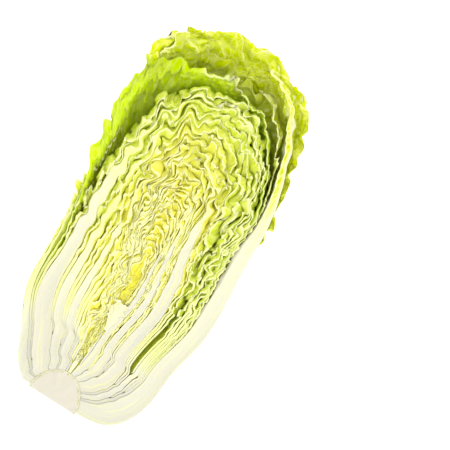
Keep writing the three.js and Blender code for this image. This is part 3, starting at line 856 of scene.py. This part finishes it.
def build_heart(settings):
    """The tight bud: a ridged spindle that sinks below the cut face as it narrows."""
    mesh, u, v, w = sheet_grid("heart_bud_tip", 160, 44, 0)
    turn = np.radians(180 * v)
    radius, distance = profile(u, HEART_LAYER - BUD_CLEARANCE)
    sunk = 0.5 + 3 * smooth(0.25, 0.6, u) * w
    x = radius * np.cos(turn) + axis_lean(u, distance)
    z = CUT_HEIGHT - sunk - radius * np.sin(turn) * (1 - w)
    points = np.stack([x, distance + STEM_CLEARANCE - REST_FROM_STEM, z], -1)
    fold = np.abs(2 * v - 1) * 2.5 + 0.5 * crinkle(points * (1, 0.5, 1), 7, 60) + 1.5 * u
    groove = np.abs(np.sin(math.pi * fold)) ** 0.6
    fade = band((0.04, 0.15), (0.95, 1), u)
    points[:, 2] -= (3.4 * (1 - groove) - 0.8 * crinkle(points, 4.5, 62)) * w * fade
    points[:, 0] += fade * crinkle(points, 4, 61)
    facts = {"cut": w * (0.35 + 0.5 * smooth(0.5, 1, groove)), "rib": 1 - smooth(0.05, 0.2, u)}
    finish_mesh(mesh, points, points[:, :2], facts)
    add_piece(mesh, "heart", settings, "heart_bud")


def build_young_leaf(settings):
    """The pale frilled leaf that unfolds at the bud's top."""
    mesh, u, v, w = sheet_grid("heart_young_leaf", 60, 40)
    off_middle = np.abs(2 * v - 1)
    across = (2 * v - 1) * (1.8 + 5 * smooth(0.1, 0.7, u))
    frill = smooth(0.2, 0.9, u) * (0.35 + off_middle**2)
    flat = np.stack([across, YOUNG_LENGTH * u, u * 0], -1)
    points = flat + tuple(YOUNG_LEAF)
    points[:, 0] += 1.1 * frill * crinkle(flat, 4.5, 70)
    points[:, 1] += 1.6 * crinkle(flat, 5, 72) * smooth(0.7, 1, u)
    points[:, 2] += 1.9 * frill * crinkle(flat, 4, 71) - 0.06 * across**2 - 0.7 * (1 - w) + 2 * u
    edge = smooth(0.8, 1, np.maximum(off_middle, u))
    finish_mesh(mesh, points, flat[:, :2], {"cut": 0.4 + 0.35 * edge, "rib": u * 0 + 0.65})
    add_piece(mesh, "heart", settings)


def linear(red, green, blue):
    """A screen colour of 0 to 255 as the light that it stands for."""
    share = [value / 255 for value in (red, green, blue)]
    return [c / 12.92 if c <= 0.04045 else ((c + 0.055) / 1.055) ** 2.4 for c in share]


def feed(socket, value):
    """Links an output to a socket, or sets the socket to a plain value."""
    if isinstance(value, bpy.types.NodeSocket):
        socket.id_data.links.new(value, socket)
    elif socket.type == "RGBA":
        socket.default_value = (*value[:3], 1)
    else:
        socket.default_value = value


def node(tree, kind, inputs=None, **settings):
    made = tree.nodes.new("ShaderNode" + kind)
    for name, value in settings.items():
        setattr(made, name, value)
    for name, value in (inputs or {}).items():
        feed(made.inputs[name], value)
    return made


def blend(tree, factor, a, b):
    return node(tree, "Mix", {0: factor, 6: a, 7: b}, data_type="RGBA").outputs[2]


def calc(tree, operation, a, b=0.0, c=0.0):
    return node(tree, "Math", {0: a, 1: b, 2: c}, operation=operation).outputs[0]


def ramp(tree, value, low, high, first=0.0, last=1.0):
    inputs = {0: value, 1: low, 2: high, 3: first, 4: last}
    return node(tree, "MapRange", inputs, interpolation_type="SMOOTHSTEP").outputs[0]


def mask(tree, name):
    return node(tree, "Attribute", attribute_name=name).outputs["Fac"]


def noise(tree, vector, scale, detail=2.0):
    """The noise's height and its colour, which serves as a direction."""
    return node(tree, "TexNoise", {"Vector": vector, "Scale": scale, "Detail": detail}).outputs


def leaf_map(tree, *scale):
    """The leaf's UV map, across it and along it, drawn out lengthwise if a scale is given."""
    flat = node(tree, "UVMap", uv_map="leaf").outputs["UV"]
    return node(tree, "Mapping", {"Vector": flat, "Scale": scale}).outputs[0] if scale else flat


def new_group(name, inputs, outputs):
    tree = bpy.data.node_groups.new(name, "ShaderNodeTree")
    for label, kind in inputs.items():
        tree.interface.new_socket(label, in_out="INPUT", socket_type="NodeSocket" + kind)
    for label, kind in outputs.items():
        tree.interface.new_socket(label, in_out="OUTPUT", socket_type="NodeSocket" + kind)
    return tree, tree.nodes.new("NodeGroupInput").outputs, tree.nodes.new("NodeGroupOutput").inputs


def leaf_colouring():
    """Colour of a leaf: pale to green blade, lighter veins, white midrib and cream cut edge."""
    name = "leaf_colouring"
    if name in bpy.data.node_groups:
        return bpy.data.node_groups[name]
    colours = {label: "Color" for label in ("Pale", "Green", "Vein", "Rib", "Cut")}
    tree, given, made = new_group(name, {**colours, "Net": "Float"}, {"Colour": "Color"})
    spot = node(tree, "TexCoord").outputs["Object"]
    patchy = calc(tree, "MULTIPLY_ADD", noise(tree, spot, 45.0, 3.0)[0], 0.7, -0.35)
    speckled = calc(tree, "MULTIPLY_ADD", noise(tree, spot, 420.0)[0], 0.3, -0.15)
    greenness = calc(tree, "ADD", calc(tree, "ADD", mask(tree, "green"), patchy), speckled)
    blade = blend(tree, ramp(tree, greenness, 0.05, 1.0), given["Pale"], given["Green"])

    flat = leaf_map(tree)
    way = noise(tree, flat, 14.0)[1]
    bend = {0: way, 1: (0.06, 0.06, 0.0), 2: flat}
    bent = node(tree, "VectorMath", bend, operation="MULTIPLY_ADD").outputs[0]
    cell = node(tree, "TexVoronoi", {"Vector": bent, "Scale": 15.0}, feature="DISTANCE_TO_EDGE")
    small = ramp(tree, cell.outputs["Distance"], 0.015, 0.12, 1.0, 0.0)
    across, length, _ = node(tree, "SeparateXYZ", {0: bent}).outputs
    right = calc(tree, "MULTIPLY", calc(tree, "GREATER_THAN", across, 0.03), 0.5)
    row = calc(tree, "MULTIPLY_ADD", calc(tree, "ABSOLUTE", across), -0.9, length)
    row = calc(tree, "MULTIPLY_ADD", row, 1 / (SIDE_VEINS * MAP_SCALE), right)
    large = ramp(tree, calc(tree, "PINGPONG", row, 0.5), 0.02, 0.07, 1.8, 0.0)
    net = calc(tree, "MULTIPLY", calc(tree, "MAXIMUM", small, large), given["Net"])
    veined = calc(tree, "MAXIMUM", calc(tree, "MULTIPLY", mask(tree, "vein"), 0.85), net)
    veined = blend(tree, veined, blade, given["Vein"])

    strands = ramp(tree, noise(tree, leaf_map(tree, 45.0, 1.5, 1.0), 1.0)[0], 0.5, 0.72, 0.0, 0.3)
    flesh = blend(tree, strands, given["Rib"], given["Pale"])
    ribbed = blend(tree, ramp(tree, mask(tree, "rib"), 0.2, 0.75), veined, flesh)
    feed(made["Colour"], blend(tree, calc(tree, "MULTIPLY", mask(tree, "cut"), 0.9), ribbed, given["Cut"]))
    return tree


def leaf_relief():
    """Height of the fine relief: lengthwise fibres on midribs and small bumps on blades."""
    name = "leaf_relief"
    if name in bpy.data.node_groups:
        return bpy.data.node_groups[name]
    tree, given, made = new_group(name, {"Fibres": "Float", "Bumps": "Float"}, {"Height": "Float"})
    fibre = noise(tree, leaf_map(tree, 60.0, 2.5, 1.0), 1.0)[0]
    bump = noise(tree, node(tree, "TexCoord").outputs["Object"], 380.0)[0]
    rib = ramp(tree, mask(tree, "rib"), 0.2, 0.75)
    on_rib = calc(tree, "MULTIPLY", calc(tree, "MULTIPLY", fibre, rib), given["Fibres"])
    off_rib = calc(tree, "SUBTRACT", 1.0, rib)
    on_blade = calc(tree, "MULTIPLY", calc(tree, "MULTIPLY", bump, off_rib), given["Bumps"])
    feed(made["Height"], calc(tree, "ADD", on_rib, on_blade))
    return tree


# Colours of each kind of leaf, the light that passes through its blade and how strongly its veins show.
Finish = namedtuple("Finish", "pale green glow net")
FINISHES = {
    "outer": Finish("outer_pale", "outer_green", 0.25, 0.5),
    "bowl": Finish("bowl_pale", "bowl_green", 0.5, 0.3),
    "head": Finish("head_pale", "head_green", 0.24, 0.25),
    "heart": Finish("heart", "head_pale", 0.2, 0.1),
    "stem": Finish("stem", "bundle", 0.0, 0.0),
}


def leaf_material(kind, colours):
    """The moist, soft finish of one kind of leaf, made once. Its midribs let less light through."""
    name = "cabbage_" + kind
    if name in bpy.data.materials:
        return bpy.data.materials[name]
    finish = FINISHES[kind]
    material = bpy.data.materials.new(name)
    material.use_nodes = True
    tree = material.node_tree
    tree.nodes.clear()
    shades = {
        "Pale": getattr(colours, finish.pale), "Green": getattr(colours, finish.green), "Net": finish.net,
        "Vein": colours.vein, "Rib": colours.rib, "Cut": colours.stem if kind == "stem" else colours.cut,
    }
    colour = node(tree, "Group", shades, node_tree=leaf_colouring()).outputs[0]
    height = node(tree, "Group", {"Fibres": 0.8, "Bumps": 0.5}, node_tree=leaf_relief()).outputs[0]
    bump = node(tree, "Bump", {"Height": height, "Strength": 0.6, "Distance": 0.0006}).outputs[0]
    flesh = {
        "Base Color": colour, "Roughness": 0.42, "Normal": bump,
        "Specular IOR Level": 0.35, "Specular Tint": colour,
        "Subsurface Weight": 0.35, "Subsurface Scale": 0.003, "Subsurface Radius": (1.0, 1.0, 0.3),
    }
    body = node(tree, "BsdfPrincipled", flesh).outputs[0]
    through = node(tree, "BsdfTranslucent", {"Color": colour, "Normal": bump}).outputs[0]
    thin = ramp(tree, mask(tree, "rib"), 0.1, 0.7, finish.glow, 0.2 * finish.glow)
    mixed = node(tree, "MixShader", {0: thin, 1: body, 2: through}).outputs[0]
    feed(node(tree, "OutputMaterial").inputs["Surface"], mixed)
    return material


def colour_prop(name, description, *screen):
    return bpy.props.FloatVectorProperty(
        name=name, description=description, subtype="COLOR", default=linear(*screen), min=0, max=1
    )


def length_prop(name, description, default):
    return bpy.props.FloatProperty(
        name=name, description=description, default=default, min=0, subtype="DISTANCE", unit="LENGTH"
    )


def share_prop(name, description, default):
    return bpy.props.FloatProperty(
        name=name, description=description, default=default, min=0, soft_max=2, subtype="FACTOR"
    )


class CabbageSizes(bpy.types.PropertyGroup):
    crinkle: share_prop("Crinkle", "Share of the gap beside it that a crinkle takes", 0.6)
    crinkle_length: length_prop("Crinkle length", "Distance from one crinkle to the next", 0.010)
    most_crinkle: length_prop("Most crinkle", "Depth that a crinkle never passes", 0.003)
    shared_crinkle: length_prop("Shared crinkle", "Depth of the crinkles that neighbours share", 0.0018)
    curl: share_prop("Curl", "How far the crinkles lean over", 0.9)
    cut_relief: length_prop("Cut relief", "How far torn blades end below the cut face", 0.003)
    ruffle: length_prop("Ruffle", "Depth of the ruffles along the outer leaves' margins", 0.003)
    blister: length_prop("Blister", "Height of the blistered cells of the outer leaves", 0.0018)
    cell: length_prop("Cell", "Width of the cells between small veins", 0.0095)
    head_step: length_prop("Head step", "Mesh spacing along the head leaves", 0.00095)
    wrapper_step: length_prop("Wrapper step", "Mesh spacing along the outer leaves", 0.0017)


class CabbageColours(bpy.types.PropertyGroup):
    stem: colour_prop("Stem", "Flesh of the cut stem", 197, 192, 177)
    bundle: colour_prop("Bundles", "Dots where leaves join the stem", 150, 158, 62)
    rib: colour_prop("Midrib", "White of the thick midribs", 203, 201, 184)
    cut: colour_prop("Cut edge", "Cream of the blades' cut edges", 251, 251, 184)
    vein: colour_prop("Vein", "Light veins on the green leaves", 250, 251, 156)
    head_pale: colour_prop("Head, pale", "Tight head near the axis", 241, 236, 92)
    head_green: colour_prop("Head, green", "Tight head near its outside", 204, 219, 56)
    heart: colour_prop("Heart", "Youngest leaves", 240, 234, 84)
    bowl_pale: colour_prop("Cup, pale", "Cupped leaf near its root", 222, 236, 56)
    bowl_green: colour_prop("Cup, green", "Cupped leaf near its rim", 210, 231, 2)
    outer_pale: colour_prop("Outer, pale", "Outer leaves near the stem", 226, 232, 124)
    outer_green: colour_prop("Outer, green", "Outer leaves near their tips", 206, 218, 0)


class CabbageStage(bpy.types.PropertyGroup):
    tilt: bpy.props.FloatProperty(
        name="Tilt", description="Camera's angle off straight down", default=math.radians(2), subtype="ANGLE"
    )
    lean: bpy.props.FloatProperty(
        name="Lean", description="The stem-to-tip line's angle above level, as the camera sees it",
        default=math.radians(57.5), subtype="ANGLE",
    )
    field: length_prop("Field", "Width of the view at the cut face", 0.36)
    lens: bpy.props.FloatProperty(name="Lens", description="Focal length", default=135, unit="CAMERA")
    key: bpy.props.FloatProperty(
        name="Key light", description="Power of the large lamp", default=12, unit="POWER"
    )
    fill: bpy.props.FloatProperty(name="Sky", description="Brightness of the white room", default=1.24)


class CabbageProperties(bpy.types.PropertyGroup):
    sizes: bpy.props.PointerProperty(type=CabbageSizes)
    colours: bpy.props.PointerProperty(type=CabbageColours)
    stage: bpy.props.PointerProperty(type=CabbageStage)


@functools.cache
def leaf_stack():
    return Stack()


class CABBAGE_OT_stem(bpy.types.Operator):
    """Build the trimmed stem with its cut face"""

    bl_idname = "cabbage.stem"
    bl_label = "Stem"

    def execute(self, context):
        build_stem(context.scene.cabbage)
        return {"FINISHED"}


class CABBAGE_OT_heart(bpy.types.Operator):
    """Build the bud in the middle of the head"""

    bl_idname = "cabbage.heart"
    bl_label = "Heart bud"

    def execute(self, context):
        build_heart(context.scene.cabbage)
        build_young_leaf(context.scene.cabbage)
        return {"FINISHED"}


class CABBAGE_OT_wrappers(bpy.types.Operator):
    """Build the outer leaves and the cupped leaf inside them"""

    bl_idname = "cabbage.wrappers"
    bl_label = "Outer leaves"

    def execute(self, context):
        for leaf in WRAPPERS:
            build_leaf(leaf, "bowl" if leaf is CUP_LEAF else "outer", context.scene.cabbage)
        return {"FINISHED"}


class CABBAGE_OT_head(bpy.types.Operator):
    """Build the tight head's leaves"""

    bl_idname = "cabbage.head"
    bl_label = "Head leaves"

    def execute(self, context):
        for leaf in HEAD_LEAVES + FOLD_LEAVES:
            build_leaf(leaf, "heart" if leaf.layer < YOUNG_LAYER else "head", context.scene.cabbage)
        return {"FINISHED"}


# What the camera looks at, and the way from there to the large lamp: up, then right and down in its view.
LOOK_AT = Vector((0.0415, 0.0323, CUT_HEIGHT * MM))
KEY_WAY = (1, 0.28, 0.36)
KEY_DISTANCE = 1.6
KEY_SIZE = 1.1
FLOOR_SIZE = 3


def make_floor():
    bm = bmesh.new()
    bmesh.ops.create_grid(bm, x_segments=1, y_segments=1, size=FLOOR_SIZE)
    mesh = bpy.data.meshes.new("floor")
    bm.to_mesh(mesh)
    bm.free()
    material = bpy.data.materials.new("studio_white")
    material.use_nodes = True
    white = {
        "Base Color": (0.93, 0.93, 0.93), "Roughness": 0.9,
        "Emission Color": (1, 1, 1), "Emission Strength": 0.45,
    }
    for label, value in white.items():
        feed(material.node_tree.nodes["Principled BSDF"].inputs[label], value)
    mesh.materials.append(material)
    add_object(mesh)


def make_key_lamp(way, power):
    lamp = bpy.data.lights.new("key", "AREA")
    lamp.shape, lamp.size, lamp.energy = "DISK", KEY_SIZE, power
    holder = add_object(lamp)
    holder.location = LOOK_AT + way.normalized() * KEY_DISTANCE
    holder.rotation_mode = "QUATERNION"
    holder.rotation_quaternion = way.to_track_quat("Z", "Y")


def make_white_room(brightness):
    world = bpy.data.worlds.new("white_room")
    world.use_nodes = True
    sky = world.node_tree.nodes["Background"].inputs
    feed(sky["Color"], (1, 1, 1))
    feed(sky["Strength"], brightness)
    bpy.context.scene.world = world


class CABBAGE_OT_stage(bpy.types.Operator):
    """Set up the pale floor, the soft light and the camera that looks down on the cut face"""

    bl_idname = "cabbage.stage"
    bl_label = "Stage"

    def execute(self, context):
        stage = context.scene.cabbage.stage
        make_floor()
        right = Vector((math.sin(stage.lean), math.cos(stage.lean), 0))
        down = Vector((math.cos(stage.lean), -math.sin(stage.lean), 0))
        up = Vector((0, 0, 1))
        make_key_lamp(up * KEY_WAY[0] + right * KEY_WAY[1] + down * KEY_WAY[2], stage.key)
        make_white_room(stage.fill)
        context.scene.view_settings.view_transform = "Standard"

        back = (up * math.cos(stage.tilt) + down * math.sin(stage.tilt)).normalized()
        data = bpy.data.cameras.new("camera")
        data.lens = stage.lens
        camera = add_object(data)
        distance = stage.field * stage.lens / data.sensor_width
        over = back.cross(right)
        turned = Matrix((right, over, back)).transposed().to_4x4()
        camera.matrix_world = Matrix.Translation(LOOK_AT + back * distance) @ turned
        context.scene.camera = camera
        return {"FINISHED"}


class CABBAGE_PT_panel(bpy.types.Panel):
    """Lists the cabbage's pieces and the settings that they are built from"""

    bl_idname = "CABBAGE_PT_panel"
    bl_label = "Halved cabbage"
    bl_space_type = "VIEW_3D"
    bl_region_type = "UI"
    bl_category = "Cabbage"

    def draw(self, context):
        settings = context.scene.cabbage
        for operator in OPERATORS:
            self.layout.operator(operator.bl_idname)
        for group in (settings.sizes, settings.colours, settings.stage):
            box = self.layout.box()
            for name in group.__annotations__:
                box.prop(group, name)


OPERATORS = (
    CABBAGE_OT_stage,
    CABBAGE_OT_stem,
    CABBAGE_OT_heart,
    CABBAGE_OT_wrappers,
    CABBAGE_OT_head,
)
CLASSES = (CabbageSizes, CabbageColours, CabbageStage, CabbageProperties, *OPERATORS, CABBAGE_PT_panel)


def register():
    for cls in CLASSES:
        bpy.utils.register_class(cls)
    bpy.types.Scene.cabbage = bpy.props.PointerProperty(type=CabbageProperties)


def unregister():
    del bpy.types.Scene.cabbage
    for cls in reversed(CLASSES):
        bpy.utils.unregister_class(cls)


def main():
    register()
    bpy.ops.cabbage.stage()
    bpy.ops.cabbage.stem()
    bpy.ops.cabbage.heart()
    bpy.ops.cabbage.wrappers()
    bpy.ops.cabbage.head()


if __name__ == "__main__":
    main()
